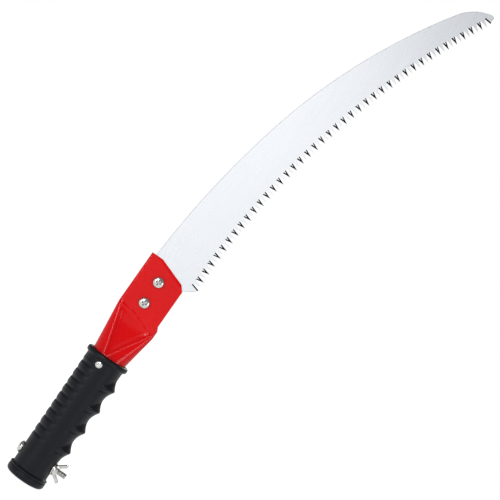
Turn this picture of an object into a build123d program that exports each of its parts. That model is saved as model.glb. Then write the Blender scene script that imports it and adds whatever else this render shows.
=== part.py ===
from build123d import *
from math import atan2, cos, degrees, radians, sin, sqrt, tan
import os

# Cutting head of a pole saw: a curved pruning blade clamped in the flattened end of a steel
# tube, whose round end is a socket for a pole. Millimetres. +Z runs up the socket towards
# the blade, the teeth face +X, and the screw heads face -Y. The origin is the centre of the
# socket's mouth.

# ---- socket tube
tube_diameter = 28.0
tube_wall = 1.5
round_length = 112.0            # stretch of the tube that stays round
lead_in_past_bolt = 5.8         # the mouth is sized a little wider as far as this past the bolt
lead_in_clearance = 0.25
pole_stop_step = 0.25           # the bore steps in by this much, and the pole seats on the step
pole_stop_drop = 8.0            # below the end of the round stretch, clear of the rivet
taper_length = 44.0             # from round to flat, on the tube's axis
crease_tilt = 15.0              # degrees that the press crease leans down towards the teeth
head_length = 52.2              # from the crease to the top edge
head_half_width = 20.0
head_shift = 0.3                # the flattened end sits this far towards the teeth
head_flat_top = 10.3            # level part of the top edge, from the spine side
head_slope_drop = 8.2           # fall of the sloping top edge
head_corner_width = 4.0         # cut corner on the tooth side
head_corner_drop = 4.8
trim_past_wall = 0.4            # the fold on the tooth side is cut off this far inside the wall
notch_low_rise = 1.5            # the trimmed edge starts this far above the crease
notch_high_rise = 5.5

# ---- blade
blade_thickness = 1.3
blade_length = 330.0            # from the head to the nose
tooth_pitch = 3.906
tooth_depth = 6.8
tooth_bevel = 1.05              # width of the ground facets on each tooth
gullet_width = 0.6
tang_gap = 2.4                  # between the tang's edge and the inside of the fold
tang_depth = 44.2               # tang below the head's top edge
tang_corner = 3.0
heel_overhang = 12.2            # first tooth tip, outwards from the tang's edge
heel_below_top = 4.1            # and below the head's top edge
heel_back = 2.3
heel_drop = 2.7
heel_slope = 35.0               # degrees of the heel edge
tooth_line_start = -1.05        # degrees from vertical at the first tooth
tooth_line_curve = 2.023        # radius of the line of tips, in blade lengths
nose_run = 10.0                 # blade beyond the last tooth
spine_inset = 0.2               # the spine, inwards from the tang's edge
spine_below_top = 0.2
spine_start = 2.4               # degrees from vertical
spine_low_curve = 2.273         # radius of the lower spine, in blade lengths
spine_low_share = 0.4224        # length of the lower spine, in blade lengths
spine_high_curve = 1.49
spine_setback = 16.4            # the spine stops this far short of the blade's length
nose_sagitta = 2.6
toe_step_x = 0.7                # from the last full tooth to the corner of the nose
toe_step_z = 4.2
nose_back = 3.1                 # from that corner to the top of the nose
nose_rise = 6.1
nose_front_back = 0.5           # and to the front of the nose
nose_front_rise = 2.6

# ---- blade screws
screw_x = -1.6
screw_low_rise = 15.1           # lower screw above the crease
screw_spacing = 19.9
screw_diameter = 5.0
screw_hole_clearance = 0.25
screw_head_overhang = 2.0       # head past the shank, all round
screw_head_height = 3.3
screw_head_rim = 1.5
recess_width = 1.2
recess_length = 5.2
recess_depth = 2.0
recess_taper = 14.0
thread_clearance = 0.05
nut_overhang = 1.5              # flats past the shank
nut_height = 4.0
lock_washer_overhang = 2.1
lock_washer_thickness = 1.2
lock_washer_gap = 1.0
screw_tip = 0.5                 # screw standing out of its nut

# ---- grip
grip_past_round = 7.6           # the sleeve goes on past the round stretch of tube
grip_low_thickness = 1.5        # just above the end bead
grip_high_thickness = 2.9       # just below the flange
end_bead_thickness = 3.1
end_bead_height = 9.0
end_bead_round = 3.0
bead_slope = 2.0
flange_overhang = 4.9
flange_thickness = 5.0
flange_round = 1.9
finger_count = 4
finger_low_end = 27.725         # the finger ridges lie between here
finger_top_gap = 6.275          # and this far below the flange
finger_rise = 3.4
finger_axis_x = 6.0             # the ridges are rings about this line, so they fade to the sides
palm_rib_count = 10
palm_rib_low_end = 33.8
palm_rib_top_gap = 12.0
palm_rib_rise = 0.35
palm_rib_section = 1.6
palm_axis_x = -0.45

# ---- rivet
rivet_drop = 8.4                # below the sleeve's top
rivet_offset = 2.5              # towards the spine, off the middle of the front
rivet_head_diameter = 6.1
rivet_head_height = 1.3
rivet_diameter = 3.2
rivet_hole_clearance = 0.05
rivet_bulb_diameter = 4.6
rivet_bulb_length = 3.0

# ---- clamp bolt, washer and wing nut
bolt_height = 20.2
bolt_diameter = 5.0
bolt_slide_clearance = 0.1
bolt_nut_clearance = 0.05
bolt_past_tube = 13.1           # end of the thread, outside the tube
bolt_head_overhang = 2.8
bolt_head_height = 3.8
bolt_head_rim = 0.8
bolt_tip_chamfer = 0.6
head_squeeze = 1.2              # rubber left under the bolt head
washer_squeeze = 0.4            # rubber left under the washer
recess_clearance = 0.3
washer_overhang = 3.75
washer_thickness = 1.2
hub_overhang = 3.0
hub_top_overhang = 1.4
wing_hub_height = 4.0
wing_hub_rim = 1.4
wing_rise = 9.0                 # tip of a wing above the washer
wing_past_hub = 5.5             # tip of a wing, outwards from the hub's rim
wing_tip_width = 3.2            # width of a wing across its outer end
wing_root_round = 0.6           # the hollow between wing and hub
wing_tip_round = 1.2
wing_thickness = 1.8
wing_turn = 25.0                # degrees that the wings are turned out of the blade's plane

# ---- derived sizes
tube_radius = tube_diameter / 2
bore_radius = tube_radius - tube_wall
lead_in_radius = bore_radius + lead_in_clearance
pole_stop_radius = bore_radius - pole_stop_step
pole_stop_height = round_length - pole_stop_drop
lead_in_length = bolt_height + lead_in_past_bolt
crease_height = round_length + taper_length
head_top = crease_height + head_length
head_thickness = blade_thickness + 2 * tube_wall
head_face = head_thickness / 2
edge_trim = tube_wall + trim_past_wall
head_left = head_shift - head_half_width
head_right = head_shift + head_half_width - edge_trim
tang_half_width = head_half_width - tube_wall - tang_gap
tang_bottom = head_top - tang_depth
heel_x = tang_half_width + heel_overhang
heel_z = head_top - heel_below_top
spine_x = spine_inset - tang_half_width
spine_z = head_top - spine_below_top
tooth_line_radius = tooth_line_curve * blade_length
spine_low_radius = spine_low_curve * blade_length
spine_low_run = spine_low_share * blade_length
spine_high_radius = spine_high_curve * blade_length
spine_high_run = blade_length - spine_low_run - spine_setback
screw_low_z = crease_height + screw_low_rise
screw_high_z = screw_low_z + screw_spacing
screw_radius = screw_diameter / 2
screw_head_radius = screw_radius + screw_head_overhang
lock_washer_radius = screw_radius + lock_washer_overhang
grip_length = round_length + grip_past_round
grip_low_radius = tube_radius + grip_low_thickness
grip_high_radius = tube_radius + grip_high_thickness
end_bead_radius = tube_radius + end_bead_thickness
flange_low = grip_length - flange_thickness
flange_radius = tube_radius + flange_overhang
finger_pitch = (flange_low - finger_top_gap - finger_low_end) / finger_count
finger_first_z = finger_low_end + finger_pitch / 2
palm_rib_pitch = (flange_low - palm_rib_top_gap - palm_rib_low_end) / (palm_rib_count - 1)
rivet_height = grip_length - rivet_drop
bolt_radius = bolt_diameter / 2
bolt_reach = tube_radius + bolt_past_tube
bolt_head_radius = bolt_radius + bolt_head_overhang
bolt_seat = -(tube_radius + head_squeeze)
washer_seat = tube_radius + washer_squeeze
washer_top = washer_seat + washer_thickness
washer_radius = bolt_radius + washer_overhang
hub_radius = bolt_radius + hub_overhang
hub_top_radius = bolt_radius + hub_top_overhang
wing_reach = hub_radius + wing_past_hub
seed = 0.02                     # straight side of a section that is as good as round

os.makedirs("parts", exist_ok=True)


def finish(piece, label):
    piece.part.label = label
    export_step(piece.part, f"parts/{label}.step")


def grip_radius(height):
    """Radius of the sleeve's tapered body."""
    share = (height - end_bead_height) / (flange_low - end_bead_height)
    return grip_low_radius + share * (grip_high_radius - grip_low_radius)


# ---------------------------------------------------------------- rivet line
rivet_reach = grip_radius(rivet_height + rivet_head_diameter / 2)
rivet_out_x = -rivet_offset / rivet_reach
rivet_out_y = -sqrt(1 - rivet_out_x**2)
rivet_plane = Plane(
    origin=(0, 0, rivet_height),
    x_dir=(rivet_out_x, rivet_out_y, 0),
    z_dir=(rivet_out_y, -rivet_out_x, 0),
)
rivet_axis = Axis((0, 0, rivet_height), (rivet_out_x, rivet_out_y, 0))

with BuildPart() as rivet_drill:
    with BuildSketch(Plane(origin=rivet_plane.origin, z_dir=rivet_plane.x_dir)):
        Circle(rivet_diameter / 2 + rivet_hole_clearance)
    extrude(amount=2 * rivet_reach)

# ---------------------------------------------------------------- socket tube
crease_plane = Plane(
    origin=(head_shift, 0, crease_height),
    x_dir=(cos(radians(crease_tilt)), 0, -sin(radians(crease_tilt))),
    z_dir=(sin(radians(crease_tilt)), 0, cos(radians(crease_tilt))),
)
head_outline = [
    (head_left - tube_radius, 0),
    (head_right + tube_radius, 0),
    (head_right + tube_radius, crease_height + notch_low_rise),
    (head_right + edge_trim, crease_height + notch_low_rise),
    (head_right, crease_height + notch_high_rise),
    (head_right, head_top - head_slope_drop - head_corner_drop),
    (head_right - head_corner_width, head_top - head_slope_drop),
    (head_left + head_flat_top, head_top),
    (head_left - tube_radius, head_top),
]

# The outside of the tube as a solid: round, then pressed flat, then trimmed.
with BuildPart() as tube_form:
    with BuildSketch(Plane.XY):
        Circle(tube_radius)
    extrude(amount=round_length)
    with BuildSketch(Plane.XY.offset(round_length)):
        RectangleRounded(2 * tube_radius, 2 * tube_radius, tube_radius - seed)
    with BuildSketch(crease_plane):
        RectangleRounded(
            2 * head_half_width / cos(radians(crease_tilt)), head_thickness, head_face - seed
        )
    loft(ruled=True)
    with BuildSketch(crease_plane):
        RectangleRounded(
            2 * head_half_width / cos(radians(crease_tilt)), head_thickness, head_face - seed
        )
    extrude(amount=head_top, dir=(0, 0, 1))
    with BuildSketch(Plane.XZ.offset(-2 * tube_radius)):
        Polygon(*head_outline, align=None)
    extrude(amount=4 * tube_radius, mode=Mode.INTERSECT)

with BuildPart() as socket_tube:
    add(tube_form.part)
    with BuildSketch(Plane.XY):
        Circle(lead_in_radius)
    extrude(amount=lead_in_length, mode=Mode.SUBTRACT)
    with BuildSketch(Plane.XY):
        Circle(bore_radius)
    extrude(amount=pole_stop_height, mode=Mode.SUBTRACT)
    with BuildSketch(Plane.XY):
        Circle(pole_stop_radius)
    extrude(amount=round_length, mode=Mode.SUBTRACT)
    with BuildSketch(Plane.XY.offset(round_length)):
        RectangleRounded(2 * pole_stop_radius, 2 * pole_stop_radius, pole_stop_radius - seed)
    with BuildSketch(crease_plane):
        RectangleRounded(
            2 * (head_half_width - tube_wall) / cos(radians(crease_tilt)),
            blade_thickness,
            blade_thickness / 4,
        )
    loft(ruled=True, mode=Mode.SUBTRACT)
    with BuildSketch(crease_plane):
        RectangleRounded(
            2 * (head_half_width - tube_wall) / cos(radians(crease_tilt)),
            blade_thickness,
            blade_thickness / 4,
        )
    extrude(amount=head_top, dir=(0, 0, 1), mode=Mode.SUBTRACT)
    with BuildSketch(Plane.XZ.offset(-head_thickness)):
        with Locations((screw_x, screw_low_z), (screw_x, screw_high_z)):
            Circle(screw_radius + screw_hole_clearance)
    extrude(amount=2 * head_thickness, mode=Mode.SUBTRACT)
    with BuildSketch(Plane.YZ.offset(-2 * tube_radius)):
        with Locations((0, bolt_height)):
            Circle(bolt_radius + bolt_slide_clearance)
    extrude(amount=4 * tube_radius, mode=Mode.SUBTRACT)
    add(rivet_drill.part, mode=Mode.SUBTRACT)

# ---------------------------------------------------------------- blade
tooth_centre_x = heel_x + tooth_line_radius * cos(radians(tooth_line_start))
tooth_centre_z = heel_z - tooth_line_radius * sin(radians(tooth_line_start))
tooth_count = round((blade_length - nose_run) / tooth_pitch)


def tooth_line(travel, inset=0.0):
    """A point this far along the line of tooth tips, moved in towards the spine by inset."""
    angle = radians(tooth_line_start) + travel / tooth_line_radius
    radius = tooth_line_radius + inset
    return (tooth_centre_x - radius * cos(angle), tooth_centre_z + radius * sin(angle))


def tooth_outline(number):
    """One tooth, with a root that reaches into the plate."""
    middle = number * tooth_pitch
    half = (tooth_pitch - gullet_width) / 2
    root = tooth_depth + 2 * tooth_bevel
    return [
        tooth_line(middle),
        tooth_line(middle + half, tooth_depth),
        tooth_line(middle + half, root),
        tooth_line(middle - half, root),
        tooth_line(middle - half, tooth_depth),
    ]


def grind_flank(root, tip, side):
    """What the grinder takes off the front of one flank; side is 1 where the gullet is above."""
    length = sqrt((tip[0] - root[0]) ** 2 + (tip[1] - root[1]) ** 2)
    along = ((tip[0] - root[0]) / length, (tip[1] - root[1]) / length)
    across = Plane(
        origin=(root[0], 0, root[1]),
        x_dir=(-side * along[1], 0, side * along[0]),
        z_dir=(along[0], 0, along[1]),
    )
    front = side * blade_thickness / 2
    with BuildPart() as ground:
        with BuildSketch(across):
            Polygon(
                (-tooth_bevel, front),
                (gullet_width / 2, front),
                (gullet_width / 2, -front),
                (0, -front),
                align=None,
            )
        extrude(amount=length + tooth_bevel)
    return ground.part


last_tip = tooth_line((tooth_count - 1) * tooth_pitch)
last_root = tooth_line((tooth_count - 0.5) * tooth_pitch, tooth_depth)
toe = (last_tip[0] + toe_step_x, last_tip[1] + toe_step_z)
middle_root = tooth_line(tooth_count / 2 * tooth_pitch, tooth_depth)
first_root = tooth_line(0.5 * tooth_pitch, tooth_depth)
nose_top = (toe[0] - nose_back, toe[1] + nose_rise)
nose_front = (toe[0] - nose_front_back, toe[1] + nose_front_rise)
heel_corner = (heel_x - heel_back, heel_z - heel_drop)
heel_root = (
    tang_half_width,
    heel_corner[1] - (heel_corner[0] - tang_half_width) * tan(radians(heel_slope)),
)

with BuildPart() as blade:
    with BuildSketch(Plane.XZ.offset(-blade_thickness / 2)):
        with BuildLine():
            low = JernArc(
                (spine_x, spine_z),
                (sin(radians(spine_start)), cos(radians(spine_start))),
                spine_low_radius,
                -degrees(spine_low_run / spine_low_radius),
            )
            high = JernArc(
                low @ 1, low % 1, spine_high_radius, -degrees(spine_high_run / spine_high_radius)
            )
            nose = SagittaArc(high @ 1, nose_top, nose_sagitta)
            TangentArc(nose_top, nose_front, tangent=nose % 1)
            Polyline(nose_front, toe, last_root)
            ThreePointArc(last_root, middle_root, first_root)
            Polyline(
                first_root,
                (heel_x, heel_z),
                heel_corner,
                heel_root,
                (tang_half_width, tang_bottom + tang_corner),
                (tang_half_width - tang_corner, tang_bottom),
                (tang_corner - tang_half_width, tang_bottom),
                (-tang_half_width, tang_bottom + tang_corner),
                (spine_x, spine_z),
            )
        make_face()
        with Locations((screw_x, screw_low_z), (screw_x, screw_high_z)):
            Circle(screw_radius + screw_hole_clearance, mode=Mode.SUBTRACT)
    extrude(amount=blade_thickness)
    # Every second tooth is ground on the front, and the ones between on the back.
    bevel_angle = degrees(atan2(tooth_bevel, blade_thickness))
    for first, full_face, way in ((2, -1, 1), (1, 1, -1)):
        with BuildSketch(Plane.XZ.offset(full_face * blade_thickness / 2)):
            for number in range(first, tooth_count, 2):
                Polygon(*tooth_outline(number), align=None)
        extrude(amount=way * blade_thickness, taper=bevel_angle)
    # The teeth at the heel and the toe have one flank each.
    add(grind_flank(first_root, (heel_x, heel_z), 1), mode=Mode.SUBTRACT)
    add(grind_flank(last_root, toe, -1), mode=Mode.SUBTRACT)

# ---------------------------------------------------------------- grip sleeve
def finger_tip(number):
    height = finger_first_z + number * finger_pitch
    return (grip_radius(height) + finger_rise, height)


def finger_groove(number):
    """The lowest point of the hollow above a ridge, just inside the body's surface."""
    height = finger_first_z + (number + 0.5) * finger_pitch
    return (grip_radius(height) - palm_rib_rise, height)


with BuildPart() as grip_sleeve:
    with BuildSketch(Plane.XZ):
        with BuildLine():
            Polyline((0, 0), (end_bead_radius - end_bead_round, 0))
            RadiusArc(
                (end_bead_radius - end_bead_round, 0),
                (end_bead_radius, end_bead_round),
                -end_bead_round,
            )
            Polyline(
                (end_bead_radius, end_bead_round),
                (end_bead_radius, end_bead_height - bead_slope),
                (grip_radius(end_bead_height), end_bead_height),
                (grip_radius(flange_low), flange_low),
                (flange_radius - flange_round, flange_low),
            )
            RadiusArc(
                (flange_radius - flange_round, flange_low),
                (flange_radius, flange_low + flange_round),
                -flange_round,
            )
            Line(
                (flange_radius, flange_low + flange_round),
                (flange_radius, grip_length - flange_round),
            )
            RadiusArc(
                (flange_radius, grip_length - flange_round),
                (flange_radius - flange_round, grip_length),
                -flange_round,
            )
            Polyline((flange_radius - flange_round, grip_length), (0, grip_length), (0, 0))
        make_face()
    revolve(axis=Axis.Z)
    # Finger ridges: hollows between pointed ridges, turned about a line nearer the fingers.
    with BuildSketch(Plane.XZ):
        with BuildLine():
            low_end = finger_first_z - finger_pitch / 2
            high_end = finger_tip(finger_count - 1)[1] + finger_pitch / 2
            start = (grip_radius(low_end) - palm_rib_rise, low_end)
            end = (grip_radius(high_end) - palm_rib_rise, high_end)
            SagittaArc(start, finger_tip(0), finger_rise / 4)
            for number in range(finger_count - 1):
                ThreePointArc(finger_tip(number), finger_groove(number), finger_tip(number + 1))
            SagittaArc(finger_tip(finger_count - 1), end, finger_rise / 4)
            Polyline(end, (finger_axis_x, high_end), (finger_axis_x, low_end), start)
        make_face()
    revolve(axis=Axis((finger_axis_x, 0, 0), (0, 0, 1)))
    # Palm ribs on the spine side, which fade out the same way.
    for number in range(palm_rib_count):
        rib_z = palm_rib_low_end + number * palm_rib_pitch
        rib_x = grip_radius(rib_z) + palm_rib_rise - palm_rib_section + 2 * palm_axis_x
        with BuildSketch(Plane.XZ):
            with Locations((rib_x, rib_z)):
                Circle(palm_rib_section)
        revolve(axis=Axis((palm_axis_x, 0, 0), (0, 0, 1)))
    add(tube_form.part, mode=Mode.SUBTRACT)
    # Bolt holes, and the flats pressed under the bolt's head and the washer.
    with BuildSketch(Plane.YZ.offset(-2 * tube_radius)):
        with Locations((0, bolt_height)):
            Circle(bolt_radius + bolt_slide_clearance)
    extrude(amount=4 * tube_radius, mode=Mode.SUBTRACT)
    with BuildSketch(Plane.YZ.offset(bolt_seat)):
        with Locations((0, bolt_height)):
            Circle(bolt_head_radius + recess_clearance)
    extrude(amount=-tube_radius, mode=Mode.SUBTRACT)
    with BuildSketch(Plane.YZ.offset(washer_seat)):
        with Locations((0, bolt_height)):
            Circle(washer_radius + recess_clearance)
    extrude(amount=tube_radius, mode=Mode.SUBTRACT)
    add(rivet_drill.part, mode=Mode.SUBTRACT)

# ---------------------------------------------------------------- grip rivet
with BuildPart() as grip_rivet:
    with BuildSketch(rivet_plane):
        with BuildLine():
            shank = rivet_diameter / 2
            bulb = rivet_bulb_diameter / 2
            bulb_seat = sqrt(pole_stop_radius**2 - bulb**2) - rivet_hole_clearance
            Polyline(
                (rivet_reach + rivet_head_height, 0),
                (pole_stop_radius - rivet_bulb_length, 0),
                (pole_stop_radius - rivet_bulb_length, shank),
                (pole_stop_radius - rivet_bulb_length / 2, bulb),
                (bulb_seat, bulb),
                (bulb_seat, shank),
                (rivet_reach, shank),
                (rivet_reach, rivet_head_diameter / 2),
            )
            TangentArc(
                (rivet_reach + rivet_head_height, 0),
                (rivet_reach, rivet_head_diameter / 2),
                tangent=(0, 1),
            )
        make_face()
    revolve(axis=rivet_axis)

# ---------------------------------------------------------------- blade screws, nuts, washers
nut_seat = head_face + lock_washer_thickness
screw_end = nut_seat + nut_height + screw_tip


def make_blade_screw(height, label):
    """A pan-head screw: head on the -Y side, shank through to the nut."""
    with BuildPart() as screw:
        with BuildSketch(Plane.XY.offset(height)):
            with BuildLine():
                half = screw_head_radius
                Polyline(
                    (screw_x, -head_face - screw_head_height),
                    (screw_x, screw_end),
                    (screw_x + screw_radius, screw_end),
                    (screw_x + screw_radius, -head_face),
                    (screw_x + half, -head_face),
                    (screw_x + half, -head_face - screw_head_rim),
                )
                TangentArc(
                    (screw_x, -head_face - screw_head_height),
                    (screw_x + half, -head_face - screw_head_rim),
                    tangent=(1, 0),
                )
            make_face()
        revolve(axis=Axis((screw_x, 0, height), (0, 1, 0)))
        with BuildSketch(Plane.XZ.offset(head_face + screw_head_height)):
            with Locations((screw_x, height)):
                Rectangle(recess_length, recess_width)
                Rectangle(recess_width, recess_length)
        extrude(amount=-recess_depth, taper=recess_taper, mode=Mode.SUBTRACT)
    finish(screw, label)


def make_blade_nut(height, label):
    with BuildPart() as nut:
        with BuildSketch(Plane.XZ.offset(-nut_seat)):
            with Locations((screw_x, height)):
                RegularPolygon(screw_radius + nut_overhang, 6, major_radius=False)
                Circle(screw_radius + thread_clearance, mode=Mode.SUBTRACT)
        extrude(amount=-nut_height)
    finish(nut, label)


def make_lock_washer(height, label):
    with BuildPart() as washer:
        with BuildSketch(Plane.XZ.offset(-head_face)):
            with Locations((screw_x, height)):
                Circle(lock_washer_radius)
                Circle(screw_radius + bolt_slide_clearance, mode=Mode.SUBTRACT)
            with Locations((screw_x, height + lock_washer_radius)):
                Rectangle(lock_washer_gap, lock_washer_radius, mode=Mode.SUBTRACT)
        extrude(amount=-lock_washer_thickness)
    finish(washer, label)


# ---------------------------------------------------------------- clamp bolt
bolt_axis = Axis((0, 0, bolt_height), (1, 0, 0))

with BuildPart() as clamp_bolt:
    with BuildSketch(Plane.XZ):
        with BuildLine():
            head_edge = bolt_height + bolt_head_radius
            rim = bolt_seat - bolt_head_rim
            Polyline(
                (bolt_seat - bolt_head_height, bolt_height),
                (bolt_reach, bolt_height),
                (bolt_reach, bolt_height + bolt_radius - bolt_tip_chamfer),
                (bolt_reach - bolt_tip_chamfer, bolt_height + bolt_radius),
                (bolt_seat, bolt_height + bolt_radius),
                (bolt_seat, head_edge),
                (rim, head_edge),
            )
            TangentArc(
                (bolt_seat - bolt_head_height, bolt_height), (rim, head_edge), tangent=(0, 1)
            )
        make_face()
    revolve(axis=bolt_axis)

with BuildPart() as clamp_washer:
    with BuildSketch(Plane.YZ.offset(washer_seat)):
        with Locations((0, bolt_height)):
            Circle(washer_radius)
            Circle(bolt_radius + bolt_slide_clearance, mode=Mode.SUBTRACT)
    extrude(amount=washer_thickness)

# ---------------------------------------------------------------- wing nut
wing_plane = Plane(
    origin=(0, 0, bolt_height),
    x_dir=(1, 0, 0),
    z_dir=(0, -cos(radians(wing_turn)), -sin(radians(wing_turn))),
)

with BuildPart() as wing_nut:
    with BuildSketch(Plane.XZ):
        with BuildLine():
            Polyline(
                (washer_top, bolt_height),
                (washer_top, bolt_height + hub_radius),
                (washer_top + wing_hub_rim, bolt_height + hub_radius),
                (washer_top + wing_hub_height, bolt_height + hub_top_radius),
                (washer_top + wing_hub_height, bolt_height),
                close=True,
            )
        make_face()
    revolve(axis=bolt_axis)
    # Each wing leans outwards along the bolt from the hub's shoulder.
    with BuildSketch(wing_plane.offset(-wing_thickness / 2)) as wings:
        Polygon(
            (washer_top + wing_hub_rim / 2, bolt_radius),
            (washer_top + wing_hub_rim, hub_radius),
            (washer_top + wing_rise - wing_hub_rim, wing_reach),
            (washer_top + wing_rise, wing_reach - wing_tip_width),
            (washer_top + wing_hub_height + wing_root_round, hub_top_radius + wing_root_round),
            (washer_top + wing_hub_height - wing_root_round, bolt_radius),
            align=None,
        )
        mirror(about=Plane.XZ)
        fillet(wings.vertices().group_by(Axis.X)[-1], wing_tip_round)
    extrude(amount=wing_thickness)
    with BuildSketch(Plane.YZ.offset(washer_top)):
        with Locations((0, bolt_height)):
            Circle(bolt_radius + bolt_nut_clearance)
    extrude(amount=2 * wing_rise, mode=Mode.SUBTRACT)

finish(socket_tube, "socket_tube")
finish(blade, "blade")
finish(grip_sleeve, "grip_sleeve")
finish(grip_rivet, "grip_rivet")
for height, place in ((screw_high_z, "upper"), (screw_low_z, "lower")):
    make_blade_screw(height, f"blade_screw_{place}")
    make_lock_washer(height, f"blade_lock_washer_{place}")
    make_blade_nut(height, f"blade_nut_{place}")
finish(clamp_bolt, "clamp_bolt")
finish(clamp_washer, "clamp_washer")
finish(wing_nut, "wing_nut")
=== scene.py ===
from math import asin, cos, exp, pi, radians, sin, sqrt, tau

import bmesh
import bpy
from mathutils import Matrix, Vector


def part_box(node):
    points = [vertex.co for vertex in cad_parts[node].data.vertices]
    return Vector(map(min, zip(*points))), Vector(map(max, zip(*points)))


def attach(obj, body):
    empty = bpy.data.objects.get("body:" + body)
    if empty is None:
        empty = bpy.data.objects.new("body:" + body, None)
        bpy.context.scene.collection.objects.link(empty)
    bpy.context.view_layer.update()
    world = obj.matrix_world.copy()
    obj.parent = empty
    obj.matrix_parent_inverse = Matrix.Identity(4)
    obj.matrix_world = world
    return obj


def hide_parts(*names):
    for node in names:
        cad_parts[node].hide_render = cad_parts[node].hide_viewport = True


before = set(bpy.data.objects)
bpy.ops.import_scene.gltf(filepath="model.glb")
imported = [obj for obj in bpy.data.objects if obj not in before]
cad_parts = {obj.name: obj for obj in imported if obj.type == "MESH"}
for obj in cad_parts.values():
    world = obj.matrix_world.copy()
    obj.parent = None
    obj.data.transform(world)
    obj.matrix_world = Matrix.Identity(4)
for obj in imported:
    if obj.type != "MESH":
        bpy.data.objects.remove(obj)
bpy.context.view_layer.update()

MM = 0.001  # sizes below are in millimetres, and become metres as each mesh is made
HEAD_BODY = "saw_head"


def box_mm(node):
    low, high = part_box(node)
    return low / MM, high / MM


# ---------------------------------------------------------------- sizes from the frame
tube_low, tube_high = box_mm("socket_tube")
_, blade_high = box_mm("blade")
_, grip_high = box_mm("grip_sleeve")
bolt_low, bolt_high = box_mm("clamp_bolt")
washer_low, washer_high = box_mm("clamp_washer")
_, wing_high = box_mm("wing_nut")
rivet_low, rivet_high = box_mm("grip_rivet")

tube_radius = tube_high.y
tube_wall = 1.5
bore_radius = tube_radius - tube_wall
plate_half = blade_high.y
head_face = plate_half + tube_wall
head_top = tube_high.z
head_left = tube_low.x
grip_length = grip_high.z
grip_past_round = 7.6
taper_length = 44.0
round_length = grip_length - grip_past_round
crease_height = round_length + taper_length
crease_tilt = radians(15.0)
head_half_width = 20.0
head_shift = head_left + head_half_width
trim_past_wall = 0.4
edge_trim = tube_wall + trim_past_wall
head_right = head_shift + head_half_width - edge_trim
bolt_height = (bolt_low.z + bolt_high.z) / 2
bolt_head_radius = (bolt_high.z - bolt_low.z) / 2
bolt_radius = 2.5
bolt_clearance = 0.1
head_squeeze = 1.2
thread_pitch = 0.8
washer_radius = washer_high.y
washer_seat = washer_low.x
washer_top = washer_high.x
bolt_seat = -(tube_radius + head_squeeze)


# ---------------------------------------------------------------- small helpers
def smooth(low, high, value):
    share = min(1.0, max(0.0, (value - low) / (high - low)))
    return share * share * (3 - 2 * share)


def bump(distance, width):
    return exp(-((distance / width) ** 2))


def soft_max(a, b, blend):
    return (a + b + sqrt((a - b) ** 2 + blend * blend)) / 2


def make_object(name, points, faces):
    mesh = bpy.data.meshes.new(name)
    mesh.from_pydata([(x * MM, y * MM, z * MM) for x, y, z in points], [], faces)
    piece = bpy.data.objects.new(name, mesh)
    bpy.context.scene.collection.objects.link(piece)
    tidy(piece)
    return piece


def tidy(piece, gap=1e-7):
    """Welds doubled vertices and points the normals outwards."""
    work = bmesh.new()
    work.from_mesh(piece.data)
    bmesh.ops.remove_doubles(work, verts=work.verts, dist=gap)
    bmesh.ops.recalc_face_normals(work, faces=work.faces)
    work.to_mesh(piece.data)
    work.free()


def ring_faces(rows, closed):
    """Quads between rows of vertex numbers, where a row of one is a pole."""
    faces = []
    pairs = list(zip(rows, rows[1:]))
    if closed:
        pairs.append((rows[-1], rows[0]))
    for low, high in pairs:
        count = max(len(low), len(high))
        for k in range(count):
            after = (k + 1) % count
            corner = []
            for row, index in ((low, k), (low, after), (high, after), (high, k)):
                number = row[index % len(row)]
                if number not in corner:
                    corner.append(number)
            faces.append(corner)
    return faces


def lathe(name, profile, place, steps=72, closed=False):
    """Turns (along, radius) points; place(along, radius, angle) says where each lies."""
    points = []
    rows = []
    for along, radius in profile:
        count = 1 if radius < 1e-6 else steps
        rows.append(list(range(len(points), len(points) + count)))
        points += [place(along, radius, tau * k / steps) for k in range(count)]
    return make_object(name, points, ring_faces(rows, closed))


def arc(centre, radius, start, end, count=8):
    """Points of a circular arc in profile space, angles in degrees."""
    turns = [radians(start + (end - start) * k / count) for k in range(count + 1)]
    return [(centre[0] + radius * cos(t), centre[1] + radius * sin(t)) for t in turns]


def along_x(height):
    return lambda along, radius, angle: (along, radius * cos(angle), height + radius * sin(angle))


def along_y(x, height):
    return lambda along, radius, angle: (x + radius * cos(angle), along, height + radius * sin(angle))


def threaded(place, start, end, pitch, depth):
    """The same place, with a V thread cut between start and end."""

    def cut(along, radius, angle):
        inside = smooth(start, start + pitch, along) * (1 - smooth(end - pitch / 2, end, along))
        phase = (along / pitch - angle / tau) % 1.0
        return place(along, radius - depth * inside * abs(2 * phase - 1), angle)

    return cut


def spread(start, end, step):
    count = max(1, round(abs(end - start) / step))
    return [start + (end - start) * k / count for k in range(count + 1)]


def bake_modifiers(piece):
    shape = piece.evaluated_get(bpy.context.evaluated_depsgraph_get())
    piece.data = bpy.data.meshes.new_from_object(shape)
    piece.modifiers.clear()


def combine(piece, tool, operation):
    """Cuts, joins or crosses a piece with a tool, and removes the tool."""
    change = piece.modifiers.new("combine", "BOOLEAN")
    change.operation = operation
    change.solver = "EXACT"
    change.object = tool
    bake_modifiers(piece)
    bpy.data.objects.remove(tool)


def cylinder(place, start, end, radius, steps=64):
    profile = [(start, 0), (start, radius), (end, radius), (end, 0)]
    return lathe("tool", profile, place, steps)


def prism(outline, depth):
    """A solid with an outline in the XZ plane, depth to both sides of it."""
    count = len(outline)
    points = [(x, -depth, z) for x, z in outline] + [(x, depth, z) for x, z in outline]
    faces = [list(range(count)), list(range(count, 2 * count))]
    faces += [[k, (k + 1) % count, (k + 1) % count + count, k + count] for k in range(count)]
    return make_object("tool", points, faces)


def soften(piece, width, limit=40.0, segments=2):
    """Rounds the sharp edges."""
    edge = piece.modifiers.new("soften", "BEVEL")
    edge.width = width * MM
    edge.segments = segments
    edge.limit_method = "ANGLE"
    edge.angle_limit = radians(limit)
    edge.use_clamp_overlap = True
    bake_modifiers(piece)


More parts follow.
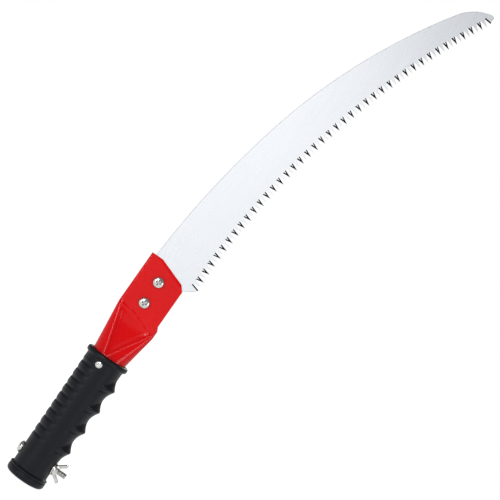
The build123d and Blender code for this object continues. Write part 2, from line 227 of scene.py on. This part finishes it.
def dress(piece, material, body, nodes, crease=35.0):
    """Smooth shading that keeps the sharp edges, the material, and the place in the frame."""
    piece.data.materials.clear()
    piece.data.materials.append(material)
    piece.data.shade_smooth()
    piece.data.set_sharp_from_angle(angle=radians(crease))
    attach(piece, body)
    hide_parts(*nodes)


# ---------------------------------------------------------------- materials
def link_noise(tree, scale, detail=4.0, stretch=(1.0, 1.0, 1.0), kind="ShaderNodeTexNoise"):
    where = tree.nodes.new("ShaderNodeTexCoord")
    place = tree.nodes.new("ShaderNodeMapping")
    place.inputs["Scale"].default_value = stretch
    grain = tree.nodes.new(kind)
    grain.inputs["Scale"].default_value = scale
    grain.inputs["Detail"].default_value = detail
    tree.links.new(where.outputs["Object"], place.inputs["Vector"])
    tree.links.new(place.outputs["Vector"], grain.inputs["Vector"])
    return grain.outputs["Fac"]


def link_range(tree, source, low, high, from_low=0.3, from_high=0.7):
    span = tree.nodes.new("ShaderNodeMapRange")
    span.inputs["From Min"].default_value = from_low
    span.inputs["From Max"].default_value = from_high
    span.inputs["To Min"].default_value = low
    span.inputs["To Max"].default_value = high
    tree.links.new(source, span.inputs["Value"])
    return span.outputs["Result"]


def link_mix(tree, share, first, second):
    mix = tree.nodes.new("ShaderNodeMix")
    mix.data_type = "RGBA"
    tree.links.new(share, mix.inputs["Factor"])
    mix.inputs["A"].default_value = (*first, 1)
    mix.inputs["B"].default_value = (*second, 1)
    return mix.outputs["Result"]


def link_bump(tree, sources, shader):
    """Bumps in a chain, from (height, strength, distance in millimetres)."""
    normal = None
    for height, strength, distance in sources:
        relief = tree.nodes.new("ShaderNodeBump")
        relief.inputs["Strength"].default_value = strength
        relief.inputs["Distance"].default_value = distance * MM
        tree.links.new(height, relief.inputs["Height"])
        if normal:
            tree.links.new(normal, relief.inputs["Normal"])
        normal = relief.outputs["Normal"]
    tree.links.new(normal, shader.inputs["Normal"])


def new_material(name, **values):
    material = bpy.data.materials.new(name)
    material.use_nodes = True
    shader = material.node_tree.nodes["Principled BSDF"]
    for key, value in values.items():
        shader.inputs[key.replace("_", " ")].default_value = value
    return material, material.node_tree, shader


def metal(name, light, dark, smoothness, lines, cloud=60.0, grain=900.0, relief=0.004):
    """Bare or plated metal: cloudy tone, fine lines or grain in roughness and relief."""
    material, tree, shader = new_material(name, Metallic=1.0)
    clouds = link_noise(tree, cloud)
    marks = link_noise(tree, grain, 3.0, lines)
    tree.links.new(link_mix(tree, clouds, light, dark), shader.inputs["Base Color"])
    rough = link_range(tree, marks, *smoothness)
    tree.links.new(rough, shader.inputs["Roughness"])
    link_bump(tree, [(marks, 0.4, relief)], shader)
    return material


blade_steel = metal(
    "blade_steel",
    (0.72, 0.735, 0.76),
    (0.66, 0.68, 0.705),
    (0.27, 0.31),
    (1.0, 1.0, 0.02),
    cloud=12.0,
    grain=2400.0,
    relief=0.0003,
)
# Near-black steel for the ground tooth facets: painted shade where the tooth bevels fall in shadow.
tooth_shade_steel = metal(
    "tooth_shade_steel", (0.012, 0.012, 0.014), (0.004, 0.004, 0.005), (0.3, 0.5), (1.0, 1.0, 0.2), 300.0
)
# A darker copy of the blade steel for the rim and the broken spine edges: painted shade that draws the
# blade's outline.
rim_shade_steel = metal(
    "rim_shade_steel", (0.42, 0.43, 0.45), (0.3, 0.31, 0.33), (0.3, 0.45), (1.0, 1.0, 1.0), 200.0
)
zinc = metal("bright_zinc", (0.66, 0.66, 0.63), (0.40, 0.40, 0.39), (0.12, 0.26), (1.0, 1.0, 1.0), 500.0)
aluminium = metal(
    "rivet_aluminium", (0.62, 0.62, 0.60), (0.44, 0.44, 0.43), (0.22, 0.4), (1.0, 1.0, 1.0), 700.0
)


def red_enamel():
    material, tree, shader = new_material(
        "red_enamel", Coat_Weight=0.35, Coat_Roughness=0.2, Specular_IOR_Level=0.03
    )
    clouds = link_noise(tree, 45.0)
    peel = link_noise(tree, 420.0, 2.0)
    specks = link_noise(tree, 2600.0, 2.0)
    tone = link_mix(tree, clouds, (0.55, 0.0, 0.001), (0.48, 0.0, 0.001))
    tree.links.new(tone, shader.inputs["Base Color"])
    tree.links.new(link_range(tree, specks, 0.26, 0.4), shader.inputs["Roughness"])
    link_bump(tree, [(peel, 0.35, 0.05), (specks, 0.15, 0.01)], shader)
    return material


def black_rubber():
    material, tree, shader = new_material("black_rubber", Specular_IOR_Level=0.2)
    shader.inputs["Specular Tint"].default_value = (0.86, 0.9, 1.0, 1)
    clouds = link_noise(tree, 90.0)
    pores = link_noise(tree, 2200.0, 3.0)
    tone = link_mix(tree, clouds, (0.002, 0.0021, 0.003), (0.0045, 0.0045, 0.006))
    tree.links.new(tone, shader.inputs["Base Color"])
    tree.links.new(link_range(tree, pores, 0.36, 0.5), shader.inputs["Roughness"])
    link_bump(tree, [(pores, 0.3, 0.03)], shader)
    return material


enamel = red_enamel()
rubber = black_rubber()


# ---------------------------------------------------------------- socket tube
RING = 256
flat_run = head_half_width / cos(crease_tilt) - head_face
left_corner = Vector((-16.0, 160.5))
top_bend = Vector((-4.0, 159.4))
right_corner = Vector((16.9, 151.5))
facet_tip = Vector((-3.4, 118.0))


def stadium(share, run, radius):
    """A point round a slot-shaped ring, as (-1 to 1 along its straights, angle of its ends)."""
    whole = 4 * run + tau * radius
    walk = share * whole
    quarter = pi * radius / 2
    if walk < quarter:
        return -1.0, pi + walk / radius
    walk -= quarter
    if walk < 2 * run:
        return walk / run - 1, 1.5 * pi
    walk -= 2 * run
    if walk < 2 * quarter:
        return 1.0, 1.5 * pi + walk / radius
    walk -= 2 * quarter
    if walk < 2 * run:
        return 1 - walk / run, 0.5 * pi
    walk -= 2 * run
    return -1.0, 0.5 * pi + walk / radius


def line_distance(point, start, end):
    """Distance from a line, positive to its left."""
    way = (end - start).normalized()
    off = point - start
    return way.x * off.y - way.y * off.x


def segment_distance(point, start, end):
    way = end - start
    share = min(1.0, max(0.0, (point - start).dot(way) / way.length_squared))
    return (point - start - share * way).length


def press_depth(x, z):
    """How far the press and the folding pushed the face in at a place; negative is out."""
    point = Vector((x, z))
    left = line_distance(point, left_corner, facet_tip)
    right = line_distance(point, facet_tip, right_corner)
    upper = min(
        segment_distance(point, left_corner, top_bend),
        segment_distance(point, top_bend, right_corner),
    )
    facet = smooth(-0.5, 3.0, left) * smooth(-0.5, 5.0, right) * smooth(0.0, 14.0, crease_height + 4 - z)
    lips = bump(segment_distance(point, left_corner, facet_tip), 2.4) * 0.7
    lips += bump(segment_distance(point, facet_tip, right_corner), 1.0) * 0.5
    ridge = bump(upper, 1.2) * (0.5 + 0.15 * sin(0.9 * x))
    streak = bump(x + 11.6, 1.6) * smooth(162, 170, z) * 0.12
    slope_edge = line_distance(
        point, Vector((head_left + 10.3, head_top)), Vector((head_right - 4.0, head_top - 8.2))
    )
    rolled = smooth(-2.6, 0.0, slope_edge) * 0.5 if z > crease_height + 20 else 0.0
    return facet * 1.1 - lips - ridge + streak + rolled


def tube_ring(height, inset):
    """A ring of the tube at this height on its axis; inset 0 is the outside."""
    level = min(1.0, max(0.0, (height - round_length) / (crease_height - round_length)))
    round_part = tube_radius - inset
    flat_part = head_face - inset
    radius = (1 - level) * round_part + level * flat_part
    ring = []
    for k in range(RING):
        side, angle = stadium(k / RING, level * flat_run * cos(crease_tilt), radius)
        flat_x = side * flat_run + flat_part * cos(angle)
        x = (1 - level) * round_part * cos(angle) + level * (head_shift + flat_x * cos(crease_tilt))
        y = radius * sin(angle)
        z = height - level * flat_x * sin(crease_tilt)
        facing = smooth(0.3, 0.95, abs(sin(angle)))
        push = press_depth(x, z) * facing * smooth(round_length + 4, round_length + 10, z)
        y += push if y < 0 else -push
        ring.append((x, y, z))
    return ring


def build_tube():
    rim = 0.3
    bore_step = 0.25
    lead_in = bolt_height + 5.8
    lead_in_inset = tube_wall - bore_step
    stop_inset = tube_wall + bore_step
    pole_stop = round_length - 8.0
    outside = [(0, rim)] + [(h, 0) for h in spread(rim, round_length, 6)]
    outside += [(h, 0) for h in spread(round_length, crease_height + 8, 0.5)[1:]]
    outside += [(h, 0) for h in spread(crease_height + 8, head_top + 8, 0.8)[1:]]
    inside = [(h, tube_wall) for h in spread(head_top + 8, crease_height, 4)]
    inside += [(h, tube_wall) for h in spread(crease_height, round_length, 1)[1:]]
    inside += [(round_length - 0.5, stop_inset), (pole_stop, stop_inset), (pole_stop - 0.1, tube_wall)]
    inside += [(lead_in, tube_wall), (lead_in - bore_step, lead_in_inset), (rim, lead_in_inset)]
    inside += [(0, lead_in_inset - rim)]
    points = []
    rows = []
    for height, inset in outside + inside:
        rows.append(list(range(len(points), len(points) + RING)))
        points += tube_ring(height, inset)
    tube = make_object("socket_tube_painted", points, ring_faces(rows, True))
    far = head_right + tube_radius
    outline = [
        (head_left - tube_radius, -5),
        (far, -5),
        (far, crease_height + 1.5),
        (head_right + edge_trim, crease_height + 1.5),
        (head_right, crease_height + 5.5),
        (head_right, head_top - 13.0),
        (head_right - 4.0, head_top - 8.2),
        (head_left + 10.3, head_top),
        (head_left - tube_radius, head_top),
    ]
    combine(tube, prism(outline, 2 * tube_radius), "INTERSECT")
    bolt_hole = cylinder(along_x(bolt_height), -20, 20, bolt_radius + bolt_clearance)
    combine(tube, bolt_hole, "DIFFERENCE")
    soften(tube, 0.22, 50)
    dress(tube, enamel, HEAD_BODY, ["socket_tube"])


build_tube()


# ---------------------------------------------------------------- blade
def build_blade():
    """The CAD plate with the spine's edges broken; its ground tooth facets, rim and broken edges take
    darker copies of the plate's steel, painted shade.
    """
    face_lean = 0.95  # a normal whose y is above this is on one of the plate's two faces
    rim_lean = 0.2  # and below this, on the rim round it
    break_lean = (0.69, 0.72)  # the broken edges lie at 45 degrees between the two
    spine_turn = radians(34.0)  # rim faces that turn less than this are the spine's or the nose's
    spine_break = 0.3
    blade = bpy.data.objects.new("blade_plate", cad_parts["blade"].data.copy())
    bpy.context.scene.collection.objects.link(blade)
    work = bmesh.new()
    work.from_mesh(blade.data)
    bmesh.ops.remove_doubles(work, verts=work.verts, dist=1e-6)
    bmesh.ops.dissolve_limit(work, angle_limit=radians(1.0), verts=work.verts, edges=work.edges)
    work.normal_update()
    edges = []
    for edge in work.edges:
        if len(edge.link_faces) == 2:
            edges.append((edge, max(abs(face.normal.y) for face in edge.link_faces)))
    spine = set()
    for edge, lean in edges:
        if lean < rim_lean and edge.calc_face_angle() < spine_turn:
            spine.update(edge.link_faces)
    rims = []
    for edge, lean in edges:
        if lean > face_lean and len(spine.intersection(edge.link_faces)) == 1:
            rims.append(edge)
    bmesh.ops.bevel(
        work,
        geom=rims,
        offset=spine_break * MM,
        segments=1,
        affect="EDGES",
        clamp_overlap=True,
        profile=0.5,
    )
    work.to_mesh(blade.data)
    work.free()
    tidy(blade)
    dress(blade, blade_steel, HEAD_BODY, ["blade"], 20)
    blade.data.materials.append(tooth_shade_steel)
    blade.data.materials.append(rim_shade_steel)
    # Rim faces and broken edges take the darker rim steel and the tooth facets the near-black steel,
    # both painted shade; the plate's faces stay flat-shaded.
    for face in blade.data.polygons:
        lean = abs(face.normal.y)
        if lean < rim_lean or break_lean[0] < lean < break_lean[1]:
            face.material_index = 2
        elif lean < face_lean:
            face.material_index = 1
        else:
            face.use_smooth = False


build_blade()


# ---------------------------------------------------------------- grip sleeve
finger_low = 37.8
finger_pitch = 20.15
finger_count = 4
finger_rise = 3.8
finger_axis_x = 6.0
finger_tips = [finger_low + k * finger_pitch for k in range(finger_count)]
rib_low = 37.6
rib_pitch = 7.64
rib_last = 9.5  # the ribs stop this many pitches above the lowest
rib_depth = 0.62
flange_low = grip_length - 5.0
flange_radius = grip_high.y
bead_radius = tube_radius + 3.1
bead_height = 9.0


def body_radius(height):
    return tube_radius + 1.5 + 1.4 * (height - bead_height) / (flange_low - bead_height)


def finger_wave(height):
    """1 at each ridge tip and 0 in the hollows between, as round scallops."""
    steps = (height - finger_low) / finger_pitch
    nearest = min(finger_count - 1, max(0, round(steps)))
    away = min(0.5, abs(steps - nearest))
    tip = 0.035
    away = sqrt(away * away + tip * tip) - tip
    return (1 - 2 * away) ** 2


def grip_surface(height, base, angle):
    """The sleeve's radius with its finger ridges and palm ribs."""
    face = cos(angle)
    on_body = smooth(bead_height, bead_height + 5, height) * smooth(0, 3, flange_low - height)
    # A ridge is a ring about a line on the finger side, so it fades towards the palm.
    ring = body_radius(height) - 0.4 + finger_rise * finger_wave(height) - finger_axis_x
    across = finger_axis_x * sin(angle)
    ridge = finger_axis_x * face + sqrt(max(ring * ring - across * across, 0))
    hollow = base - 0.45 * smooth(0.5, 0.9, face) * on_body
    radius = hollow
    if on_body > 0 and face > 0:
        radius = hollow + on_body * (soft_max(hollow, ridge, 0.35) - hollow)
        beside = smooth(0.5, 0.6, face) * (1 - smooth(0.82, 0.9, face))
        for tip in finger_tips:
            radius -= 0.4 * bump(height - tip + 3.2, 0.9) * beside
    place = (height - rib_low) / rib_pitch
    if -0.5 < place < rib_last:
        gap = bump((place + 0.5) % 1 - 0.5, 0.17) * rib_pitch / 7.5
        swell = 0.22 * (1 - (place % 1))
        radius += (swell - rib_depth * gap) * smooth(0.16, 0.36, -face)
    return radius


def build_grip():
    profile = [(0, tube_radius + 0.02), (0, bead_radius - 3.0)]
    profile += arc((3.0, bead_radius - 3.0), 3.0, 180, 90)[1:]
    profile += [(z, bead_radius - 0.5 * bump(z - 6.2, 0.5)) for z in spread(3.4, 7.6, 0.2)]
    profile += [(7.9, bead_radius - 0.1), (8.2, bead_radius - 0.5), (8.6, bead_radius - 1.1)]
    profile += [(z, body_radius(z)) for z in spread(bead_height, flange_low - 0.3, 0.55)]
    shoulder = body_radius(flange_low)
    profile += arc((flange_low - 0.3, shoulder + 0.3), 0.3, 270, 360, 4)[1:]
    profile += arc((flange_low + 1.9, flange_radius - 1.9), 1.9, 180, 90)
    profile += arc((grip_length - 1.9, flange_radius - 1.9), 1.9, 90, 0)
    profile += [(grip_length, tube_radius + 0.7), (grip_length - 0.5, tube_radius + 0.02)]

    def place(along, radius, angle):
        if bead_height <= along <= flange_low - 0.3 and radius > tube_radius + 1:
            radius = grip_surface(along, radius, angle)
        return (radius * cos(angle), radius * sin(angle), along)

    grip = lathe("grip_rubber", profile, place, 224, True)
    bolt_line = along_x(bolt_height)
    recess = 0.3
    combine(grip, cylinder(bolt_line, bolt_seat, -30, bolt_head_radius + recess), "DIFFERENCE")
    combine(grip, cylinder(bolt_line, washer_seat, 30, washer_radius + recess), "DIFFERENCE")
    combine(grip, cylinder(bolt_line, -30, 30, bolt_radius + bolt_clearance), "DIFFERENCE")
    dress(grip, rubber, HEAD_BODY, ["grip_sleeve"], 50)


build_grip()


# ---------------------------------------------------------------- grip rivet
def build_rivet():
    height = (rivet_low.z + rivet_high.z) / 2
    head = (rivet_high.z - rivet_low.z) / 2
    offset = 2.5
    seat = body_radius(height + head)
    way = Vector((-offset / seat, -sqrt(1 - (offset / seat) ** 2), 0))
    across = Vector((-way.y, way.x, 0))

    def place(along, radius, angle):
        point = way * along + across * (radius * cos(angle))
        return (point.x, point.y, height + radius * sin(angle))

    rise = 1.3
    profile = [(seat + 0.35, 0), (seat + 0.4, 0.75), (seat + 0.5, 0.85), (seat + rise - 0.1, 0.95)]
    profile += [(seat + rise, 1.15)]
    profile += [(seat + rise * cos(t), 1.15 + (head - 1.15) * sin(t)) for t in spread(0.1, 1.5, 0.14)]
    profile += [(seat, head), (seat, 1.6), (bore_radius - 0.5, 1.6), (bore_radius - 0.5, 2.3)]
    profile += [(bore_radius - 1.5, 2.3), (bore_radius - 3.0, 1.6), (bore_radius - 3.0, 0)]
    rivet = lathe("grip_rivet_head", profile, place, 56)
    dress(rivet, aluminium, HEAD_BODY, ["grip_rivet"])


build_rivet()


# ---------------------------------------------------------------- blade screws, washers, nuts
def build_blade_screw(place_name):
    node = f"blade_screw_{place_name}"
    low, high = box_mm(node)
    x = (low.x + high.x) / 2
    z = (low.z + high.z) / 2
    head = (high.x - low.x) / 2
    shank = 2.5
    tip = high.y
    top = low.y
    rim = -head_face - 1.5
    dome = [(rim + (top - rim) * sin(t), head * cos(t) ** 0.75) for t in spread(0.12, 1.5, 0.12)]
    profile = [(top, 0)] + dome[::-1]
    profile += [(rim, head - 0.03), (-head_face - 0.3, head), (-head_face, head - 0.3)]
    profile += [(-head_face, shank), (head_face, shank)]
    profile += [(y, shank) for y in spread(head_face + 0.2, tip - 0.4, 0.1)]
    profile += [(tip, shank - 0.4), (tip, 0)]
    steady = along_y(x, z)
    screw = lathe(f"{node}_steel", profile, threaded(steady, head_face + 1, tip, thread_pitch, 0.4), 72)
    for turn in (0, 1):
        wide, narrow, deep = 2.6, 0.62, 2.1
        mouth = (wide, narrow) if turn else (narrow, wide)
        corners = [(-1, -1), (1, -1), (1, 1), (-1, 1)]
        points = [(x + a * mouth[0], top - 0.2, z + b * mouth[1]) for a, b in corners]
        points += [(x + a * mouth[0] * 0.45, top + deep, z + b * mouth[1] * 0.45) for a, b in corners]
        faces = [[0, 1, 2, 3], [4, 5, 6, 7]]
        faces += [[k, (k + 1) % 4, (k + 1) % 4 + 4, k + 4] for k in range(4)]
        combine(screw, make_object("tool", points, faces), "DIFFERENCE")
    dress(screw, zinc, HEAD_BODY, [node])


def build_blade_nut(place_name):
    node = f"blade_nut_{place_name}"
    low, high = box_mm(node)
    x = (low.x + high.x) / 2
    z = (low.z + high.z) / 2
    flat = (high.z - low.z) / 2
    if high.x - low.x < high.z - low.z:
        flat = (high.x - low.x) / 2
    bore = 2.55

    def place(along, radius, angle):
        if radius > bore + 0.5:
            corner = angle % (pi / 3) - pi / 6
            hexagon = flat / cos(corner)
            from_face = min(along - low.y, high.y - along)
            radius = min(hexagon, flat - 0.12 + 1.8 * from_face)
        return (x + radius * cos(angle), along, z + radius * sin(angle))

    wall = [(y, flat) for y in spread(low.y, low.y + 0.6, 0.1)]
    wall += [(y, flat) for y in spread(high.y - 0.6, high.y, 0.1)]
    edge = 0.35
    profile = wall + [(high.y, bore + edge), (high.y - edge, bore)]
    profile += [(low.y + edge, bore), (low.y, bore + edge)]
    nut = lathe(f"{node}_steel", profile, place, 96, True)
    dress(nut, zinc, HEAD_BODY, [node], 25)


def build_lock_washer(place_name):
    node = f"blade_lock_washer_{place_name}"
    low, high = box_mm(node)
    x = (low.x + high.x) / 2
    radius = (high.x - low.x) / 2
    z = low.z + radius
    inner = 2.62
    round_off = 0.15
    half_gap = asin(0.5 / radius)
    section = [
        (inner + round_off, low.y), (radius - round_off, low.y), (radius, low.y + round_off),
        (radius, high.y - round_off), (radius - round_off, high.y), (inner + round_off, high.y),
        (inner, high.y - round_off), (inner, low.y + round_off),
    ]
    points = []
    rows = []
    for angle in spread(pi / 2 + half_gap, pi / 2 + tau - half_gap, radians(4)):
        rows.append(list(range(len(points), len(points) + len(section))))
        points += [(x + r * cos(angle), y, z + r * sin(angle)) for r, y in section]
    faces = ring_faces(rows, False) + [rows[0], rows[-1]]
    washer = make_object(f"{node}_steel", points, faces)
    dress(washer, zinc, HEAD_BODY, [node])


for place_name in ("upper", "lower"):
    build_blade_screw(place_name)
    build_blade_nut(place_name)
    build_lock_washer(place_name)


# ---------------------------------------------------------------- clamp bolt and washer
def build_bolt():
    apex = bolt_low.x
    end = bolt_high.x
    rim = bolt_seat - 0.8
    dome = [(rim + (apex - rim) * sin(t), bolt_head_radius * cos(t)) for t in spread(0.1, 1.45, 0.12)]
    profile = [(apex, 0)] + dome[::-1] + [(rim, bolt_head_radius), (bolt_seat, bolt_head_radius - 0.15)]
    profile += [(bolt_seat, bolt_radius)]
    profile += [(x, bolt_radius) for x in spread(bolt_seat + 0.5, 6, 3)]
    profile += [(x, bolt_radius) for x in spread(6.1, end - 0.6, 0.1)]
    profile += [(end, bolt_radius - 0.6), (end, 0)]
    place = threaded(along_x(bolt_height), 7, end, thread_pitch, 0.42)
    bolt = lathe("clamp_bolt_steel", profile, place, 60)
    dress(bolt, zinc, "clamp_bolt", ["clamp_bolt"])


def build_washer():
    inner = bolt_radius + bolt_clearance
    edge = 0.2
    profile = [
        (washer_seat, inner + edge), (washer_seat, washer_radius - edge),
        (washer_seat + edge, washer_radius), (washer_top - edge, washer_radius),
        (washer_top, washer_radius - edge), (washer_top, inner + edge),
        (washer_top - edge, inner), (washer_seat + edge, inner),
    ]
    washer = lathe("clamp_washer_steel", profile, along_x(bolt_height), 80, True)
    dress(washer, zinc, "clamp_washer", ["clamp_washer"], 50)


build_bolt()
build_washer()


# ---------------------------------------------------------------- wing nut
def build_wing_nut():
    turn = radians(25.0)
    hub = wing_high.y
    top = washer_top + 4.0
    hub_top = 3.9
    outer = wing_high.x
    reach = 11.0
    profile = [(washer_top, 0), (washer_top, hub - 0.3), (washer_top + 0.3, hub)]
    profile += [(washer_top + 1.2, hub), (washer_top + 1.6, hub - 0.3), (top - 0.3, hub_top)]
    profile += [(top, hub_top - 0.4), (top, 0)]
    nut = lathe("wing_nut_cast", profile, along_x(bolt_height), 72)
    # A wing's outline as (along the bolt, out from it).
    outline = [
        (washer_top + 0.9, 1.6), (washer_top + 1.0, 4.6), (washer_top + 2.4, 6.2),
        (washer_top + 5.0, 8.4), (washer_top + 6.6, 10.0), (washer_top + 7.6, reach - 0.25),
        (outer - 0.7, reach - 0.6), (outer - 0.05, reach - 1.7), (outer - 0.2, reach - 3.0),
        (outer - 1.6, reach - 4.3), (top + 1.3, 5.2), (top + 0.5, 4.2), (top - 0.7, 1.8),
    ]
    for way in (1, -1):
        points = []
        for side, inset in ((-0.9, 0.35), (-0.55, 0.0), (0.55, 0.0), (0.9, 0.35)):
            middle = Vector((sum(p[0] for p in outline), sum(p[1] for p in outline))) / len(outline)
            for x, out in outline:
                pull = (middle - Vector((x, out))).normalized() * inset
                away = (out + pull.y) * way
                across = side
                y = across * cos(turn) - away * sin(turn)
                z = across * sin(turn) + away * cos(turn)
                points.append((x + pull.x, y, bolt_height + z))
        count = len(outline)
        rows = [list(range(k * count, (k + 1) * count)) for k in range(4)]
        faces = ring_faces(rows, False) + [rows[0], rows[-1]]
        combine(nut, make_object("tool", points, faces), "UNION")
    cast = nut.modifiers.new("cast", "REMESH")
    cast.mode = "VOXEL"
    cast.voxel_size = 0.16 * MM
    melt = nut.modifiers.new("melt", "SMOOTH")
    melt.factor = 0.5
    melt.iterations = 4
    bake_modifiers(nut)
    bore = cylinder(along_x(bolt_height), washer_top - 1, top + 2, bolt_radius + 0.05)
    combine(nut, bore, "DIFFERENCE")
    dress(nut, zinc, "wing_nut", ["wing_nut"])


build_wing_nut()


# ---------------------------------------------------------------- floor, light and camera
def build_stage():
    floor_mesh = bpy.data.meshes.new("floor")
    half = 6.0
    floor_mesh.from_pydata(
        [(-half, -half, 0), (half, -half, 0), (half, half, 0), (-half, half, 0)], [], [[0, 1, 2, 3]]
    )
    floor = bpy.data.objects.new("floor", floor_mesh)
    floor.location.z = -0.0005
    bpy.context.scene.collection.objects.link(floor)
    material, tree, shader = new_material("floor_white", Roughness=0.9, Emission_Strength=0.94)
    shader.inputs["Emission Color"].default_value = (1, 1, 1, 1)
    tone = link_mix(tree, link_noise(tree, 3.0), (0.22, 0.22, 0.22), (0.2, 0.2, 0.2))
    tree.links.new(tone, shader.inputs["Base Color"])
    floor.data.materials.append(material)


def add_light(name, place, aim, size, power, tall=None):
    light = bpy.data.lights.new(name, "AREA")
    light.shape = "RECTANGLE"
    light.size = size
    light.size_y = tall or size
    light.energy = power
    lamp = bpy.data.objects.new(name, light)
    lamp.location = place
    lamp.rotation_euler = (Vector(aim) - Vector(place)).to_track_quat("-Z", "Y").to_euler()
    lamp.visible_camera = False
    bpy.context.scene.collection.objects.link(lamp)


def build_lights():
    world = bpy.data.worlds.new("studio")
    world.use_nodes = True
    tree = world.node_tree
    room = tree.nodes["Background"]
    room.inputs["Color"].default_value = (0.94, 0.96, 1.0, 1)
    room.inputs["Strength"].default_value = 0.3
    seen = tree.nodes.new("ShaderNodeBackground")
    seen.inputs["Color"].default_value = (1, 1, 1, 1)
    path = tree.nodes.new("ShaderNodeLightPath")
    either = tree.nodes.new("ShaderNodeMixShader")
    tree.links.new(path.outputs["Is Camera Ray"], either.inputs["Fac"])
    tree.links.new(room.outputs["Background"], either.inputs[1])
    tree.links.new(seen.outputs["Background"], either.inputs[2])
    tree.links.new(either.outputs["Shader"], tree.nodes["World Output"].inputs["Surface"])
    bpy.context.scene.world = world
    aim = (0.03, 0, 0.25)
    add_light("front", (-0.1, -2.8, 0.54), (-0.1, 0, 0.54), 1.6, 3.8, 0.8)
    add_light("key", (-0.8, -1.9, 1.0), aim, 0.26, 19)
    add_light("kick", (-1.2, -1.8, 0.35), aim, 0.3, 7, 0.6)
    add_light("side", (1.3, -1.2, 0.5), aim, 0.7, 8)
    add_light("back", (0.4, 1.6, 1.1), aim, 1.2, 14)


def build_camera():
    roll = radians(35.1)
    data = bpy.data.cameras.new("camera")
    data.lens = 125.5
    data.sensor_width = 36
    camera = bpy.data.objects.new("camera", data)
    right = Vector((cos(roll), 0, sin(roll)))
    up = Vector((-sin(roll), 0, cos(roll)))
    back = Vector((0, -1, 0))
    camera.matrix_world = Matrix((right, up, back)).transposed().to_4x4()
    camera.location = (0.0433, -1.4, 0.2546)
    bpy.context.scene.collection.objects.link(camera)
    bpy.context.scene.camera = camera


build_stage()
build_lights()
build_camera()
bpy.context.scene.view_settings.view_transform = "Standard"
